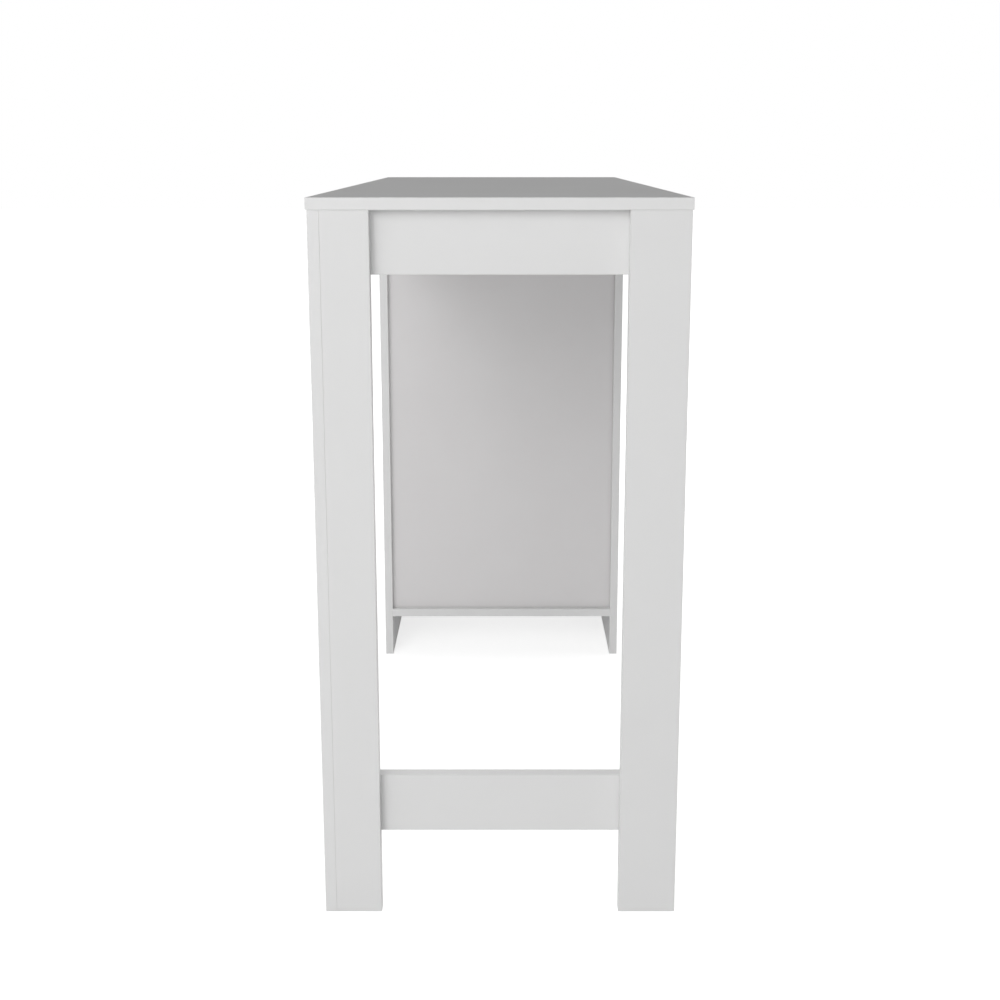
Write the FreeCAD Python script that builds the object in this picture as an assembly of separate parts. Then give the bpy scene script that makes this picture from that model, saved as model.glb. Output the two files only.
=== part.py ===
"""Bar-height console table with an open shelf cabinet at one end, as its separate boards and fittings.

Millimetres. +X runs along the table towards the cabinet, +Y to the rear and +Z up.
The origin is the centre of the table's outline, on the floor.
"""

import FreeCAD, Part
import os

Vector = FreeCAD.Vector
TO_X = Vector(1, 0, 0)
TO_Y = Vector(0, 1, 0)
TO_Z = Vector(0, 0, 1)

# The whole table
LENGTH = 1150.0
DEPTH = 500.0
HEIGHT = 1010.0
OVERHANG = 1.5  # of the tabletop past the legs, the apron's side and the cabinet

# Board stock: melamine-faced particleboard, its edge banding and the hardboard back
BOARD = 16.0
BAND = 1.0
ARRIS = 0.8  # radius along a band's outer corners
HARDBOARD = 3.0

# Open end: two L-shaped legs, an apron and a stretcher
LEG_FACE = 80.0  # each outer face of a leg
RAIL = 85.0  # height of the apron, the stretcher and the rails
STRETCHER_BOTTOM = 117.0

# Cabinet end
CABINET = 240.0  # width of its side panels, along the table
PLINTH_SETBACK = 8.0  # of the plinth's outer face from the cabinet's outer edge
NICHES = 3
BACK_INSET = 12.0  # from the side panels' inner edges to the groove
GROOVE = 4.0
GROOVE_DEPTH = 6.0
BACK_GAP = 0.8  # the groove's clearance on the open side of the back panel
BACK_PLAY = 1.0  # between the back panel's edges and the groove's floor
SHELF_SETBACK = 3.0  # of the two upper shelves from the cabinet's outer edge

# Cam fittings and dowels
CAM_REACH = 34.0  # from the joint to the disc's centre
CAM_BORE = 7.5
CAM_BORE_DEPTH = 12.6
CAM_DISC = 7.4
CAM_DISC_HEIGHT = 12.4
CAM_FLUSH = 0.1  # how far the disc's head lies below the board's face
CAM_CAVITY = 5.2
CAM_CAVITY_HEIGHT = 7.0
CAM_SLOT = 4.6
CROSS = (6.0, 1.4, 2.4)  # length, width and depth of the driver cross
CAP_RADIUS = 8.5
CAP_PROUD = 1.2
BOLT_BORE = 4.0
PILOT_BORE = 2.5
PILOT_DEPTH = 11.5
BOLT_THREAD = 11.0
THREAD_PITCH = 2.2
DOWEL_BORE = 4.0
DOWEL_RADIUS = 3.95
DOWEL_IN_FACE = 11.5
DOWEL_IN_EDGE = 23.0
DOWEL_CHAMFER = 1.0
HOLE_SPARE = 1.0  # depth of a dowel hole past the dowel's end

# Planes that several boards share
END = LENGTH / 2 - OVERHANG
SIDE = DEPTH / 2 - OVERHANG
INNER_SIDE = SIDE - BOARD
UNDER_TOP = HEIGHT - BOARD
RAIL_BOTTOM = UNDER_TOP - RAIL
LEG_X = -END
APRON_X = LEG_X + BOARD
RAIL_X = APRON_X + BOARD
CABINET_X = END - CABINET
BACK_X = CABINET_X + BACK_INSET + BACK_GAP
PLINTH_X = END - PLINTH_SETBACK - BOARD
SHELF_BOTTOM = RAIL  # the plinth is one more board of the rails' height
SHELF_TOP = SHELF_BOTTOM + BOARD


class Board:
    """A board between two corners, banded on some sides, which are given as (axis, direction) pairs."""

    def __init__(self, low, high, banded=()):
        self.low = low
        self.high = high
        self.banded = banded
        self.cutters = []

    def size(self, axis):
        return self.high[axis] - self.low[axis]

    def core(self):
        """The board without its bands, with every hole and groove cut."""
        low = Vector(self.low)
        high = Vector(self.high)
        for axis, direction in self.banded:
            if direction < 0:
                low[axis] += BAND
            else:
                high[axis] -= BAND
        return self.trimmed(block(low, high))

    def bands(self):
        """One strip for each banded side. Strips across X run the full width, and the others fit between."""
        return [self.trimmed(self.strip(axis, direction)) for axis, direction in self.banded]

    def strip(self, axis, direction):
        low = Vector(self.low)
        high = Vector(self.high)
        if direction < 0:
            high[axis] = low[axis] + BAND
        else:
            low[axis] = high[axis] - BAND
        for other, way in self.banded:
            if other == 0 and axis != 0:
                if way < 0:
                    low[0] += BAND
                else:
                    high[0] -= BAND
        outer = low[axis] if direction < 0 else high[axis]
        thin = min(range(3), key=self.size)
        along = 3 - axis - thin
        solid = block(low, high)
        corners = [e for e in solid.Edges if on_outer_corner(e, axis, outer, along)]
        return solid.makeFillet(ARRIS, corners)

    def trimmed(self, solid):
        return solid.cut(self.cutters) if self.cutters else solid


def block(low, high):
    size = high - low
    return Part.makeBox(size.x, size.y, size.z, low)


def on_outer_corner(edge, axis, outer, along):
    """Whether an edge of a strip lies in its outer face and runs along the strip."""
    middle = edge.BoundBox.Center
    return abs(middle[axis] - outer) < 1e-6 and edge.BoundBox.DiagonalLength - abs(
        edge.Vertexes[0].Point[along] - edge.Vertexes[-1].Point[along]
    ) < 1e-6


def turned(outline):
    """The solid of revolution about X of an outline of (x, radius) points."""
    points = [Vector(x, 0, radius) for x, radius in outline]
    face = Part.Face(Part.makePolygon(points + points[:1]))
    return face.revolve(Vector(0, 0, 0), TO_X, 360)


def rod(start, direction, length, radius):
    return Part.makeCylinder(radius, length, start, direction)


# Fittings. Each is drawn with the joint plane at x 0, the host board towards +x and its disc face
# towards +z.


def cam_bolt():
    """A ridged thread in the mating board, a flange at the joint, a shank, a thin neck and a round head."""
    ridges = []
    x = -BOLT_THREAD
    while x < -THREAD_PITCH / 2:
        ridges += [(x, 1.8), (x + THREAD_PITCH / 2, 2.45)]
        x += THREAD_PITCH
    shank = [(0, 1.8), (0, 3.6), (1.2, 3.6), (1.2, 3.0), (25, 3.0), (26, 1.9)]
    head = [(31, 1.9), (31.6, 3.0), (32.6, 3.3), (34, 3.0), (35, 1.8), (35, 0)]
    return turned([(-BOLT_THREAD, 0)] + ridges + shank + head)


def cam_disc():
    """A drum with a cavity for the bolt's head, a slot for its neck, a driver cross and a pointer."""
    top = BOARD / 2 - CAM_FLUSH
    centre = Vector(CAM_REACH, 0, 0)
    drum = rod(centre + TO_Z * (top - CAM_DISC_HEIGHT), TO_Z, CAM_DISC_HEIGHT, CAM_DISC)
    rims = [e for e in drum.Edges if e.Curve.TypeId == "Part::GeomCircle"]
    drum = drum.makeChamfer(0.4, rims)
    half = CAM_CAVITY_HEIGHT / 2
    cavity = rod(centre - TO_Z * half, TO_Z, CAM_CAVITY_HEIGHT, CAM_CAVITY)
    slot = Part.makeBox(
        CAM_DISC + 1, CAM_SLOT, CAM_CAVITY_HEIGHT, centre - Vector(CAM_DISC + 1, CAM_SLOT / 2, half)
    )
    length, width, depth = CROSS
    arms = [
        Part.makeBox(a, b, depth, centre + Vector(-a / 2, -b / 2, top - depth))
        for a, b in ((length, width), (width, length))
    ]
    pointer = Part.makeBox(2.4, 0.8, 0.6, centre + Vector(-CAM_DISC + 1, -0.4, top - 0.6))
    return drum.cut([cavity, slot, pointer] + arms)


def cam_cap():
    """A low domed cover with a stub that presses into the driver cross."""
    face = BOARD / 2
    length, width, depth = CROSS
    centre = Vector(CAM_REACH, 0, face)
    dome = rod(centre, TO_Z, CAP_PROUD, CAP_RADIUS)
    top = face + CAP_PROUD
    rim = [e for e in dome.Edges if abs(e.BoundBox.ZMin - top) < 1e-6 and e.Length > CAP_RADIUS]
    dome = dome.makeFillet(CAP_PROUD * 0.7, rim)
    stub = Part.makeBox(
        length - 0.6, width - 0.2, depth, centre - Vector(length / 2 - 0.3, width / 2 - 0.1, depth - 0.2)
    )
    return dome.fuse(stub)


def dowel():
    radius = DOWEL_RADIUS
    tip = radius - DOWEL_CHAMFER
    start = -DOWEL_IN_FACE
    end = DOWEL_IN_EDGE
    outline = [(start, 0), (start, tip), (start + DOWEL_CHAMFER, radius)]
    outline += [(end - DOWEL_CHAMFER, radius), (end, tip), (end, 0)]
    return turned(outline)


class Table:
    """The boards by name, and the fittings' solids by node name."""

    def __init__(self):
        self.boards = {}
        self.fittings = {}
        self.patterns = {"bolt": cam_bolt(), "disc": cam_disc(), "cap": cam_cap(), "dowel": dowel()}

    def place(self, node, pattern, point, along, face):
        """Adds a copy of a fitting at a joint. along points into the host, face out of its disc face."""
        solid = self.patterns[pattern].copy()
        turn = FreeCAD.Rotation(along, face.cross(along), face, "ZXY")
        solid.Placement = FreeCAD.Placement(point, turn)
        self.fittings.setdefault(node, []).append(solid)

    def cam(self, group, host, mate, point, along, face, capped=False):
        """A cam bolt in mate's face that a disc in host's face draws home."""
        centre = point + along * CAM_REACH
        self.boards[mate].cutters.append(rod(point, -along, PILOT_DEPTH, PILOT_BORE))
        self.boards[host].cutters.append(rod(point, along, CAM_REACH, BOLT_BORE))
        self.boards[host].cutters.append(
            rod(centre + face * (BOARD / 2), -face, CAM_BORE_DEPTH, CAM_BORE)
        )
        self.place(group + "_cam_bolts", "bolt", point, along, face)
        self.place(group + "_cam_discs", "disc", point, along, face)
        if capped:
            self.place(group + "_cam_caps", "cap", point, along, face)

    def dowel(self, group, host, mate, point, along, face):
        """A dowel from mate's face into host's edge."""
        self.boards[mate].cutters.append(rod(point, -along, DOWEL_IN_FACE + HOLE_SPARE, DOWEL_BORE))
        self.boards[host].cutters.append(rod(point, along, DOWEL_IN_EDGE + HOLE_SPARE, DOWEL_BORE))
        self.place(group + "_dowels", "dowel", point, along, face)

    def export(self):
        os.makedirs("parts", exist_ok=True)
        for name, board in self.boards.items():
            board.core().exportStep("parts/%s.step" % name)
            if board.banded:
                Part.makeCompound(board.bands()).exportStep("parts/%s_edge_band.step" % name)
        for name, solids in self.fittings.items():
            Part.makeCompound(solids).exportStep("parts/%s.step" % name)


ALL_ROUND = ((0, -1), (0, 1), (1, -1), (1, 1))
UPRIGHT_EDGES = ((0, -1), (0, 1))


def add_tabletop(boards):
    boards["tabletop"] = Board(
        Vector(-LENGTH / 2, -DEPTH / 2, UNDER_TOP), Vector(LENGTH / 2, DEPTH / 2, HEIGHT), ALL_ROUND
    )


def add_legs(boards):
    """Each leg is a full-width board and a narrower one that butts against its inner face.

    The rear leg's full-width board faces the rear, and the front leg's faces the open end.
    """
    boards["rear_leg_side_board"] = Board(
        Vector(LEG_X, INNER_SIDE, 0), Vector(LEG_X + LEG_FACE, SIDE, UNDER_TOP), UPRIGHT_EDGES
    )
    boards["rear_leg_end_board"] = Board(
        Vector(LEG_X, SIDE - LEG_FACE, 0), Vector(APRON_X, INNER_SIDE, UNDER_TOP), ((1, -1),)
    )
    boards["front_leg_end_board"] = Board(
        Vector(LEG_X, -SIDE, 0), Vector(APRON_X, LEG_FACE - SIDE, UNDER_TOP), ((1, -1), (1, 1))
    )
    boards["front_leg_side_board"] = Board(
        Vector(APRON_X, -SIDE, 0), Vector(LEG_X + LEG_FACE, -INNER_SIDE, UNDER_TOP), ((0, 1),)
    )


def cross_board(x, bottom, banded):
    """An upright board 85 mm high that spans the table between its two sides."""
    return Board(Vector(x, -INNER_SIDE, bottom), Vector(x + BOARD, INNER_SIDE, bottom + RAIL), banded)


def add_rails(boards):
    boards["end_apron"] = cross_board(APRON_X, RAIL_BOTTOM, ((2, -1),))
    boards["end_stretcher"] = cross_board(APRON_X, STRETCHER_BOTTOM, ((2, -1), (2, 1)))
    boards["cabinet_inner_rail"] = cross_board(CABINET_X, RAIL_BOTTOM, ((2, -1),))
    for name, low_y in (("front_rail", -INNER_SIDE), ("rear_rail", INNER_SIDE - BOARD)):
        boards[name] = Board(
            Vector(RAIL_X, low_y, RAIL_BOTTOM), Vector(CABINET_X, low_y + BOARD, UNDER_TOP), ((2, -1),)
        )


def shelf_levels():
    """The undersides of the shelves above the bottom one, which part the cabinet into equal niches."""
    niche = (UNDER_TOP - SHELF_TOP - (NICHES - 1) * BOARD) / NICHES
    return [SHELF_TOP + niche + i * (niche + BOARD) for i in range(NICHES - 1)]


def add_cabinet(boards):
    """The back panel sits in one groove, which opens into a rebate along the inner rail."""
    for name, low_y in (("cabinet_front_panel", -SIDE), ("cabinet_rear_panel", INNER_SIDE)):
        boards[name] = Board(
            Vector(CABINET_X, low_y, 0), Vector(END, low_y + BOARD, UNDER_TOP), UPRIGHT_EDGES
        )
    boards["cabinet_plinth"] = cross_board(PLINTH_X, 0, ())
    boards["cabinet_bottom_shelf"] = Board(
        Vector(CABINET_X, -INNER_SIDE, SHELF_BOTTOM), Vector(END, INNER_SIDE, SHELF_TOP), UPRIGHT_EDGES
    )
    shelf_x = CABINET_X + BACK_INSET + GROOVE
    for name, level in zip(("cabinet_lower_shelf", "cabinet_upper_shelf"), shelf_levels()):
        boards[name] = Board(
            Vector(shelf_x, -INNER_SIDE, level),
            Vector(END - SHELF_SETBACK, INNER_SIDE, level + BOARD),
            ((0, 1),),
        )
    reach = GROOVE_DEPTH - BACK_PLAY
    boards["cabinet_back_panel"] = Board(
        Vector(BACK_X, -INNER_SIDE - reach, SHELF_TOP - reach),
        Vector(BACK_X + HARDBOARD, INNER_SIDE + reach, RAIL_BOTTOM + reach),
    )
    groove = block(
        Vector(CABINET_X + BACK_INSET, -INNER_SIDE - GROOVE_DEPTH, SHELF_TOP - GROOVE_DEPTH),
        Vector(CABINET_X + BACK_INSET + GROOVE, INNER_SIDE + GROOVE_DEPTH, RAIL_BOTTOM + GROOVE_DEPTH),
    )
    for name in ("cabinet_front_panel", "cabinet_rear_panel", "cabinet_bottom_shelf", "cabinet_inner_rail"):
        boards[name].cutters.append(groove)


def join_legs(table):
    """Three cams and three dowels in each leg, from the full-width board into the narrower one."""
    rear = (
        "rear_leg_end_board", "rear_leg_side_board", Vector(LEG_X + BOARD / 2, INNER_SIDE, 0), -TO_Y, TO_X
    )
    front = (
        "front_leg_side_board", "front_leg_end_board", Vector(APRON_X, BOARD / 2 - SIDE, 0), TO_X, TO_Y
    )
    for host, mate, foot, along, face in (rear, front):
        for height in (60.0, 500.0, 860.0):
            table.cam("leg", host, mate, foot + TO_Z * height, along, face)
        for height in (240.0, 680.0, 950.0):
            table.dowel("leg", host, mate, foot + TO_Z * height, along, face)
        table.dowel("leg", host, "tabletop", foot + along * 40 + TO_Z * UNDER_TOP, -TO_Z, face)
    for mate, x, y in (
        ("rear_leg_side_board", LEG_X + 56, SIDE - BOARD / 2),
        ("front_leg_end_board", LEG_X + BOARD / 2, 56 - SIDE),
    ):
        table.dowel("leg", mate, "tabletop", Vector(x, y, UNDER_TOP), -TO_Z, TO_Y)


def join_cross_boards(table):
    """The ends of the apron, stretcher and inner rail. Their heights miss the long rails' fittings."""
    ends = (("front", -1), ("rear", 1))
    for host, x, middle, cam_up, dowel_up, owner in (
        ("end_apron", APRON_X, RAIL_BOTTOM + RAIL / 2, 26.0, -10.0, "%s_leg_side_board"),
        ("end_stretcher", APRON_X, STRETCHER_BOTTOM + RAIL / 2, 14.0, -22.0, "%s_leg_side_board"),
        ("cabinet_inner_rail", CABINET_X, RAIL_BOTTOM + RAIL / 2, 26.0, -10.0, "cabinet_%s_panel"),
    ):
        for end, way in ends:
            point = Vector(x + BOARD / 2, way * INNER_SIDE, middle)
            along = TO_Y * -way
            capped = x == CABINET_X
            group = "cabinet" if capped else "rail"
            table.cam(group, host, owner % end, point + TO_Z * cam_up, along, TO_X, capped)
            table.dowel(group, host, owner % end, point + TO_Z * dowel_up, along, TO_X)


def join_long_rails(table):
    """Each long rail butts against the end apron and the cabinet's inner rail."""
    middle = RAIL_BOTTOM + RAIL / 2
    for host, way in (("front_rail", -1), ("rear_rail", 1)):
        y = way * (INNER_SIDE - BOARD / 2)
        face = TO_Y * -way
        for mate, x, along in (("end_apron", RAIL_X, TO_X), ("cabinet_inner_rail", CABINET_X, -TO_X)):
            table.cam("rail", host, mate, Vector(x, y, middle + 8), along, face)
            table.dowel("rail", host, mate, Vector(x, y, middle - 28), along, face)


def join_plinth(table):
    """A cam and a dowel at each end of the plinth, and two dowels up into the bottom shelf."""
    x = PLINTH_X + BOARD / 2
    for end, way in (("front", -1), ("rear", 1)):
        mate = "cabinet_%s_panel" % end
        foot = Vector(x, way * INNER_SIDE, 0)
        table.cam("cabinet", "cabinet_plinth", mate, foot + TO_Z * 56, TO_Y * -way, -TO_X)
        table.dowel("cabinet", "cabinet_plinth", mate, foot + TO_Z * 24, TO_Y * -way, -TO_X)
        top = Vector(x, way * 110, SHELF_BOTTOM)
        table.dowel("cabinet", "cabinet_plinth", "cabinet_bottom_shelf", top, -TO_Z, -TO_X)


def join_shelves(table):
    """Two cams and a dowel at each end of each shelf, with the discs on the underside."""
    levels = [SHELF_BOTTOM] + shelf_levels()
    names = ("cabinet_bottom_shelf", "cabinet_lower_shelf", "cabinet_upper_shelf")
    for host, level in zip(names, levels):
        for end, way in (("front", -1), ("rear", 1)):
            mate = "cabinet_%s_panel" % end
            along = TO_Y * -way
            edge = Vector(CABINET_X, way * INNER_SIDE, level + BOARD / 2)
            for inset in (60.0, 190.0):
                table.cam("cabinet", host, mate, edge + TO_X * inset, along, -TO_Z, capped=True)
            table.dowel("cabinet", host, mate, edge + TO_X * 125, along, -TO_Z)


def join_tabletop(table):
    """Cams and dowels from the tabletop's underside into the boards that stand below it."""
    for y in (-110.0, 110.0):
        apron_point = Vector(APRON_X + BOARD / 2, y, UNDER_TOP)
        rail_point = Vector(CABINET_X + BOARD / 2, y, UNDER_TOP)
        table.cam("tabletop", "end_apron", "tabletop", apron_point, -TO_Z, TO_X)
        table.dowel("tabletop", "cabinet_inner_rail", "tabletop", rail_point, -TO_Z, TO_X)
    for end, way in (("front", -1), ("rear", 1)):
        face = TO_Y * -way
        rail_y = way * (INNER_SIDE - BOARD / 2)
        panel_y = way * (SIDE - BOARD / 2)
        for x in (RAIL_X + 150, CABINET_X - 150):
            table.cam("tabletop", end + "_rail", "tabletop", Vector(x, rail_y, UNDER_TOP), -TO_Z, face)
        middle = (RAIL_X + CABINET_X) / 2
        table.dowel("tabletop", end + "_rail", "tabletop", Vector(middle, rail_y, UNDER_TOP), -TO_Z, face)
        panel = "cabinet_%s_panel" % end
        for inset in (60.0, 190.0):
            point = Vector(CABINET_X + inset, panel_y, UNDER_TOP)
            table.cam("tabletop", panel, "tabletop", point, -TO_Z, face, capped=True)
        centre = Vector(CABINET_X + 125, panel_y, UNDER_TOP)
        table.dowel("tabletop", panel, "tabletop", centre, -TO_Z, face)


def main():
    table = Table()
    for add in (add_tabletop, add_legs, add_rails, add_cabinet):
        add(table.boards)
    joins = (join_legs, join_cross_boards, join_long_rails, join_plinth, join_shelves, join_tabletop)
    for join in joins:
        join(table)
    table.export()


main()
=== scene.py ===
"""The console table's looks: procedural materials, studio light and a camera.

Metres, in the row frame: +X towards the cabinet, +Y to the rear, +Z up.
"""

import bpy
import math
from mathutils import Matrix, Vector


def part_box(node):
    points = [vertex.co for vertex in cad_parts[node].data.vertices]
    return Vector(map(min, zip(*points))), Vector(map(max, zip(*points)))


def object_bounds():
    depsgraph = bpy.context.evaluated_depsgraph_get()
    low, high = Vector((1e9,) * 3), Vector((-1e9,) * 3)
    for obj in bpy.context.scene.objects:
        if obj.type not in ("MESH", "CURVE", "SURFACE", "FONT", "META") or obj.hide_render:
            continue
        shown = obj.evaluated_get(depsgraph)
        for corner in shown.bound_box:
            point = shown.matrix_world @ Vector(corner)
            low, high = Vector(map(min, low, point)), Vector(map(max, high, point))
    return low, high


MM = 0.001

# The camera looks along the table from its open end, from just above the top, and slightly downwards.
EYE_DISTANCE = 1.582  # from the open end of the tabletop
EYE_SIDE = -0.0055
EYE_HEIGHT = 1.071
PITCH = -0.1785  # radians
SENSOR = 36.0
LENS = 44.09
SHIFT = (-0.0039, -0.13)

# Round softboxes, each as its bearing from the open end towards the rear and its elevation, in degrees,
# and its power in watts. The fill boxes light the other sides and leave no highlight.
SOFTBOX_SIZE = 2.4
SOFTBOX_DISTANCE = 4.5
SOFTBOX_TARGET_HEIGHT = 0.5
SOFTBOXES = (
    (0, 60, 6.0),
    (15, 30, 38.0),
    (30, 20, 29.0),
    (40, 40, 20.0),
    (60, 15, 11.0),
)
FILL_BOXES = (
    (112, 18, 38.0),
    (-104, 16, 54.0),
    (-140, 18, 52.0),
    (155, 18, 46.0),
)

# The room's own light: an even part, and soft lobes as a direction, a sharpness and a strength
AMBIENT = 0.025
LOBES = (
    ((0.0, 0.0, 1.0), 4.0, 0.5),
    ((-1.0, 0.0, 0.0), 4.0, 1.0),
    ((1.0, 0.0, 1.0), 6.0, 0.15),
)
BACKGROUND = 1.0  # brightness past the table, which only the camera sees

# The floor, a plain pale sweep that glows a little, so that its shadows stay faint
FLOOR_SIZE = 40.0
FLOOR_PAPER = 0.6  # albedo
FLOOR_GLOW = 0.2  # towards the table
SEEN_GLOW = (0.68, 1.0)  # towards the camera, near the table and further off
SEEN_GLOW_REACH = (0.9, 2.4)  # the distances of those two from the table's centre

# Surface finishes
MELAMINE = (0.77, 0.77, 0.768)
BANDING = (0.775, 0.775, 0.773)
FACING = 0.3 * MM  # thickness of the melamine on each face of a board
GLUE_LINE = 0.18 * MM  # width of the line that shows on a board beside its band
GLUE = (0.42, 0.40, 0.37)
GLUE_SHOWS = 0.45  # how much of the glue's colour shows in that line
CHIP = 2.6 * MM  # size of the particleboard's chips
CHIP_TONES = ((0.36, 0.23, 0.12), (0.66, 0.49, 0.30))
FIBRE = (0.50, 0.36, 0.21)  # the finer fibres between the chips
BARE_ROUGHNESS = 0.85
HARDBOARD_TONES = ((0.728, 0.714, 0.716), (0.740, 0.727, 0.729))


class Nodes:
    """Short calls that add shader nodes to a material or the world and link them."""

    def __init__(self, owner):
        owner.use_nodes = True
        self.tree = owner.node_tree
        self.tree.nodes.clear()

    def add(self, kind, inputs=(), **settings):
        """Adds a node. inputs maps a socket's name or number to a value or to another node's output."""
        node = self.tree.nodes.new("ShaderNode" + kind)
        for name, value in settings.items():
            setattr(node, name, value)
        for socket, value in dict(inputs).items():
            if isinstance(value, bpy.types.NodeSocket):
                self.tree.links.new(value, node.inputs[socket])
            else:
                node.inputs[socket].default_value = value
        return node

    def math(self, operation, a, b=0.0):
        return self.add("Math", {0: a, 1: b}, operation=operation).outputs[0]

    def mix(self, factor, a, b):
        """Mixes two colours, each another node's output or plain red, green and blue."""
        a, b = (c if isinstance(c, bpy.types.NodeSocket) else rgba(c) for c in (a, b))
        return self.add("Mix", {0: factor, 6: a, 7: b}, data_type="RGBA").outputs[2]

    def mix_normals(self, factor, a, b):
        return self.add("Mix", {0: factor, 4: a, 5: b}, data_type="VECTOR").outputs[1]

    def spread(self, value, low, high, to_low=0.0, to_high=1.0):
        """Maps a value from one range onto another, clamped."""
        inputs = {0: value, 1: low, 2: high, 3: to_low, 4: to_high}
        return self.add("MapRange", inputs).outputs[0]

    def noise(self, point, size, detail=2.0, roughness=0.5):
        """Fractal noise whose features are about size metres across."""
        inputs = {"Vector": point, "Scale": 1.0 / size, "Detail": detail, "Roughness": roughness}
        return self.add("TexNoise", inputs).outputs[0]

    def position(self, scale=(1.0, 1.0, 1.0)):
        """The point in the row frame, stretched by scale."""
        coordinate = self.add("TexCoord").outputs["Object"]
        return self.add("VectorMath", {0: coordinate, 1: scale}, operation="MULTIPLY").outputs[0]

    def bump(self, height, distance):
        inputs = {"Height": height, "Distance": distance, "Strength": 1.0}
        return self.add("Bump", inputs).outputs[0]

    def surface(self, **inputs):
        """Ends the tree in a Principled shader."""
        named = {name.replace("_", " "): value for name, value in inputs.items()}
        shader = self.add("BsdfPrincipled", named)
        self.add("OutputMaterial", {"Surface": shader.outputs[0]})


def rgba(colour):
    return (*colour, 1.0)


def new_material(name):
    material = bpy.data.materials.new(name)
    return material, Nodes(material)


def board_material(name, node, banded_planes):
    """Melamine on a board's two large faces and bare particleboard on everything that is cut.

    banded_planes lists the (axis, place) of each side that carries a band, where a glue line shows.
    """
    material, n = new_material(name)
    low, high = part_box(node)
    size = high - low
    thin = min(range(3), key=lambda axis: size[axis])
    point = n.position()
    place = n.add("SeparateXYZ", {0: point}).outputs
    depth = n.math("ABSOLUTE", n.math("SUBTRACT", place[thin], (low[thin] + high[thin]) / 2))
    faced = n.math("GREATER_THAN", depth, size[thin] / 2 - FACING)

    # Melamine: an even white with a trace of mottle, and a fine pearl texture pressed into it
    mottle = n.spread(n.noise(point, 0.09, 3.0), 0.1, 0.9)
    speck = n.spread(n.noise(point, 0.0011, 2.0), 0.3, 0.7)
    white = n.mix(mottle, [c * 0.988 for c in MELAMINE], [c * 1.008 for c in MELAMINE])
    white = n.mix(n.math("MULTIPLY", speck, 0.05), white, [c * 0.9 for c in MELAMINE])
    glue = 0.0
    for axis, plane in banded_planes:
        gap = n.math("ABSOLUTE", n.math("SUBTRACT", place[axis], plane))
        glue = n.math("MAXIMUM", glue, n.math("LESS_THAN", gap, GLUE_LINE))
    if banded_planes:
        white = n.mix(n.math("MULTIPLY", glue, GLUE_SHOWS), white, GLUE)

    # Particleboard: pressed chips, coarse in the core and fine under the faces
    chips = n.add("TexVoronoi", {"Vector": n.position((1, 1, 1.6)), "Scale": 1 / CHIP})
    tone = n.add("SeparateColor", {0: chips.outputs["Color"]}).outputs[0]
    fibre = n.noise(point, 0.5 * MM, 3.0, 0.7)
    wood = n.mix(tone, *CHIP_TONES)
    wood = n.mix(n.math("MULTIPLY", fibre, 0.5), wood, FIBRE)

    pearl = n.noise(point, 0.9 * MM, 2.0, 0.6)
    smooth = n.bump(pearl, 0.012 * MM)
    rough = n.bump(n.math("ADD", n.math("MULTIPLY", tone, 0.7), fibre), 0.25 * MM)
    normal = n.mix_normals(faced, rough, smooth)
    sheen_map = n.spread(n.noise(point, 0.15, 2.0), 0.1, 0.9, 0.27, 0.32)
    bare = n.math("MULTIPLY", n.math("SUBTRACT", 1.0, faced), BARE_ROUGHNESS)
    roughness = n.math("ADD", n.math("MULTIPLY", faced, sheen_map), bare)
    n.surface(Base_Color=n.mix(faced, wood, white), Roughness=roughness, Normal=normal)
    return material


def band_material():
    """Plastic edge banding: a slightly closer white than the faces, with faint scraper marks."""
    material, n = new_material("edge_banding")
    point = n.position()
    mottle = n.spread(n.noise(point, 0.06, 2.0), 0.3, 0.7)
    white = n.mix(mottle, [c * 0.99 for c in BANDING], [c * 1.006 for c in BANDING])
    marks = n.noise(point, 0.7 * MM, 2.0, 0.6)
    n.surface(
        Base_Color=white,
        Roughness=n.spread(n.noise(point, 0.02, 2.0), 0.3, 0.7, 0.28, 0.34),
        Normal=n.bump(marks, 0.008 * MM),
    )
    return material


def hardboard_material():
    """Hardboard lacquered white: slightly warm, with the roller's faint vertical texture."""
    material, n = new_material("lacquered_hardboard")
    point = n.position()
    rolled = n.noise(n.position((1, 1, 0.12)), 1.4 * MM, 2.0, 0.6)
    mottle = n.spread(n.noise(point, 0.12, 3.0), 0.3, 0.7)
    white = n.mix(mottle, *HARDBOARD_TONES)
    n.surface(
        Base_Color=white,
        Roughness=n.spread(rolled, 0.3, 0.7, 0.46, 0.54),
        Normal=n.bump(rolled, 0.015 * MM),
    )
    return material


def metal_material(name, colour, grain, depth, roughness):
    """Zinc, dull and cast on the discs, bright and plated on the bolts.

    grain and depth are the size and the height of its texture.
    """
    material, n = new_material(name)
    point = n.position()
    cast = n.noise(point, grain, 3.0, 0.6)
    tint = n.mix(cast, [c * 0.85 for c in colour], colour)
    n.surface(
        Base_Color=tint,
        Metallic=1.0,
        Roughness=n.spread(cast, 0.3, 0.7, roughness - 0.06, roughness + 0.06),
        Normal=n.bump(cast, depth),
    )
    return material


def cap_material():
    """White moulded plastic with a fine spark-eroded texture."""
    material, n = new_material("moulded_cap")
    point = n.position()
    texture = n.noise(point, 0.25 * MM, 2.0)
    n.surface(
        Base_Color=n.mix(n.noise(point, 3 * MM), (0.84, 0.84, 0.83), (0.87, 0.87, 0.865)),
        Roughness=n.spread(texture, 0.3, 0.7, 0.36, 0.44),
        Normal=n.bump(texture, 0.02 * MM),
    )
    return material


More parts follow.
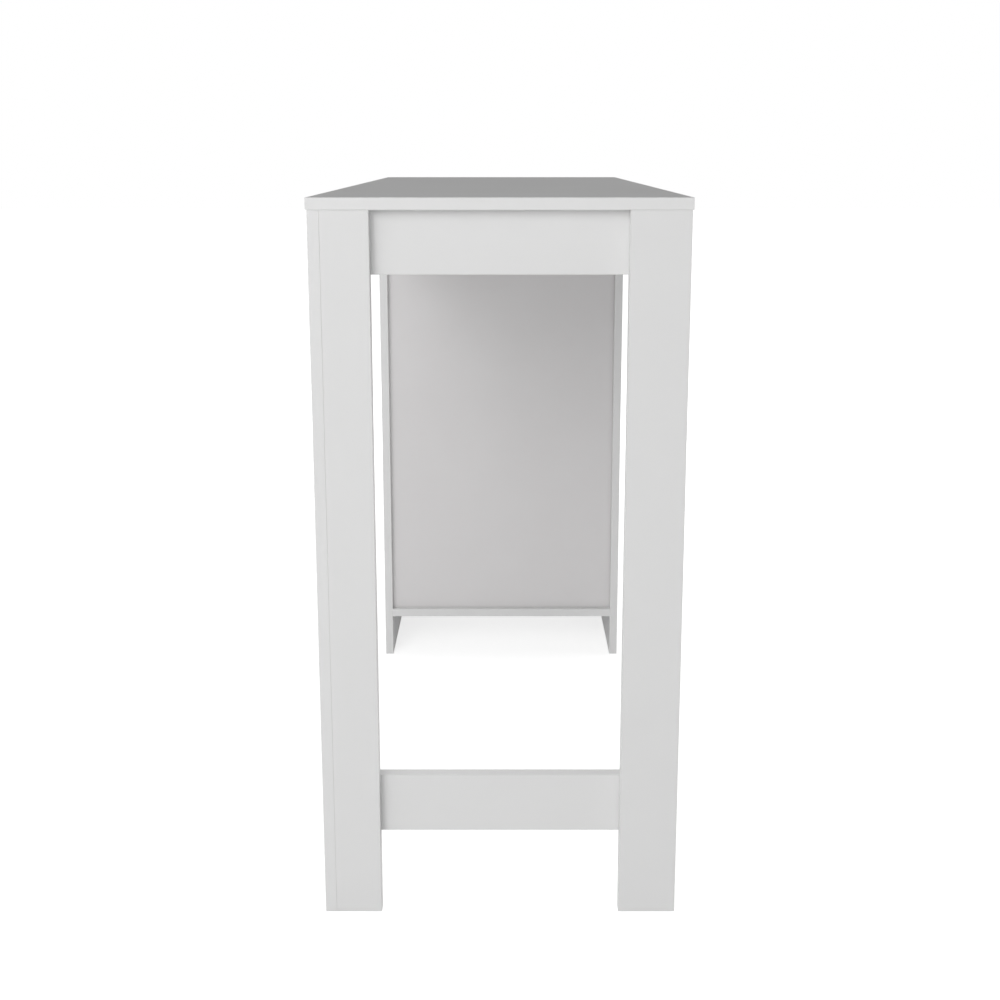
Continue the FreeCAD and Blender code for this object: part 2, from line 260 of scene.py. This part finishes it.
def beech_material():
    """Plain beech: pinkish tan with short darker flecks."""
    material, n = new_material("beech")
    point = n.position()
    grain = n.noise(point, 2.2 * MM, 3.0, 0.6)
    flecks = n.spread(n.noise(point, 0.6 * MM, 1.0), 0.62, 0.7)
    wood = n.mix(grain, (0.60, 0.42, 0.26), (0.76, 0.58, 0.40))
    wood = n.mix(n.math("MULTIPLY", flecks, 0.6), wood, (0.42, 0.25, 0.13))
    n.surface(Base_Color=wood, Roughness=0.6, Normal=n.bump(grain, 0.08 * MM))
    return material


def dress(obj, material):
    obj.data.materials.clear()
    obj.data.materials.append(material)


def banded_planes(node):
    """The planes, as (axis, place), where a board's core meets its bands."""
    if node + "_edge_band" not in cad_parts:
        return []
    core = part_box(node)
    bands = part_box(node + "_edge_band")
    tolerance = 0.1 * MM
    planes = [(axis, core[0][axis]) for axis in range(3) if bands[0][axis] < core[0][axis] - tolerance]
    planes += [(axis, core[1][axis]) for axis in range(3) if bands[1][axis] > core[1][axis] + tolerance]
    return planes


def dress_all():
    by_ending = {
        "_edge_band": band_material(),
        "_cam_discs": metal_material("cast_zinc", (0.56, 0.57, 0.58), 0.5 * MM, 0.03 * MM, 0.42),
        "_cam_bolts": metal_material("zinc_plate", (0.74, 0.74, 0.72), 0.3 * MM, 0.01 * MM, 0.28),
        "_cam_caps": cap_material(),
        "_dowels": beech_material(),
    }
    for name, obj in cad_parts.items():
        shared = [material for ending, material in by_ending.items() if name.endswith(ending)]
        if shared:
            dress(obj, shared[0])
        elif name == "cabinet_back_panel":
            dress(obj, hardboard_material())
        else:
            dress(obj, board_material("board_" + name, name, banded_planes(name)))


def add_floor(low):
    """A plain white floor. The camera sees it nearly shadowless, like the sweep of a photo studio."""
    half = FLOOR_SIZE / 2
    mesh = bpy.data.meshes.new("studio_floor")
    corners = [(-half, -half, low.z), (half, -half, low.z), (half, half, low.z), (-half, half, low.z)]
    mesh.from_pydata(corners, [], [(0, 1, 2, 3)])
    floor = bpy.data.objects.new("studio_floor", mesh)
    bpy.context.scene.collection.objects.link(floor)
    material, n = new_material("studio_floor")
    seen = n.add("LightPath").outputs["Is Camera Ray"]
    paper = n.add("BsdfDiffuse", {"Color": rgba([FLOOR_PAPER] * 3)})
    away = n.add("VectorMath", {0: n.position()}, operation="LENGTH").outputs["Value"]
    own = n.math("SUBTRACT", n.spread(away, *SEEN_GLOW_REACH, *SEEN_GLOW), FLOOR_GLOW)
    strength = n.math("ADD", n.math("MULTIPLY", seen, own), FLOOR_GLOW)
    glow = n.add("Emission", {"Color": (1, 1, 1, 1), "Strength": strength})
    both = n.add("AddShader", {0: paper.outputs[0], 1: glow.outputs[0]})
    n.add("OutputMaterial", {"Surface": both.outputs[0]})
    dress(floor, material)


def add_softboxes(low):
    """Large round lights, so far off that they fade only a little from the tabletop to the feet."""
    target = Vector((low.x, 0.0, SOFTBOX_TARGET_HEIGHT))
    for number, (bearing, elevation, power) in enumerate(SOFTBOXES + FILL_BOXES, 1):
        side = math.radians(bearing)
        rise = math.radians(elevation)
        flat = math.cos(rise)
        toward = Vector((-math.cos(side) * flat, math.sin(side) * flat, math.sin(rise)))
        data = bpy.data.lights.new(f"softbox_{number}", "AREA")
        data.shape = "DISK"
        data.size = SOFTBOX_SIZE
        data.energy = power
        softbox = bpy.data.objects.new(f"softbox_{number}", data)
        softbox.location = target + toward * SOFTBOX_DISTANCE
        softbox.rotation_euler = (-toward).to_track_quat("-Z", "Y").to_euler()
        softbox.visible_camera = False
        softbox.visible_glossy = number <= len(SOFTBOXES)
        bpy.context.scene.collection.objects.link(softbox)


def add_world():
    """Soft lobes of light for the table, and plain white where the camera looks past it."""
    world = bpy.data.worlds.new("studio")
    bpy.context.scene.world = world
    n = Nodes(world)
    direction = n.add("TexCoord").outputs["Generated"]
    light = AMBIENT
    for toward, sharpness, strength in LOBES:
        aim = Vector(toward).normalized()
        facing = n.add("VectorMath", {0: direction, 1: aim}, operation="DOT_PRODUCT").outputs["Value"]
        lobe = n.math("POWER", n.math("MAXIMUM", facing, 0.0), sharpness)
        light = n.math("ADD", n.math("MULTIPLY", lobe, strength), light)
    seen = n.add("LightPath").outputs["Is Camera Ray"]
    lit = n.add("Background", {"Color": (1, 1, 1, 1), "Strength": light})
    plain = n.add("Background", {"Color": (1, 1, 1, 1), "Strength": BACKGROUND})
    both = n.add("MixShader", {0: seen, 1: lit.outputs[0], 2: plain.outputs[0]})
    n.add("OutputWorld", {"Surface": both.outputs[0]})


def add_camera(low):
    data = bpy.data.cameras.new("camera")
    camera = bpy.data.objects.new("camera", data)
    bpy.context.scene.collection.objects.link(camera)
    data.sensor_width = SENSOR
    data.lens = LENS
    data.shift_x, data.shift_y = SHIFT
    data.clip_start = 0.05
    data.clip_end = 100.0
    aim = Vector((math.cos(PITCH), 0.0, math.sin(PITCH)))
    turn = aim.to_track_quat("-Z", "Y").to_matrix().to_4x4()
    camera.matrix_world = Matrix.Translation((low.x - EYE_DISTANCE, EYE_SIDE, EYE_HEIGHT)) @ turn
    bpy.context.scene.camera = camera


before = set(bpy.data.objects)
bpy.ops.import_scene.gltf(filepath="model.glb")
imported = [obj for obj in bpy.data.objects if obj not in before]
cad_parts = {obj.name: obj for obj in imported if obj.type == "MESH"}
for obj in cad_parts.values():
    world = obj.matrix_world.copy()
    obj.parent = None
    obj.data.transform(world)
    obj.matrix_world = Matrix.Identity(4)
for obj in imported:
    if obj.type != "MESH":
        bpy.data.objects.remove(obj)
cad_low, cad_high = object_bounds()
dress_all()
add_floor(cad_low)
add_softboxes(cad_low)
add_world()
add_camera(cad_low)
bpy.context.scene.view_settings.view_transform = "Standard"
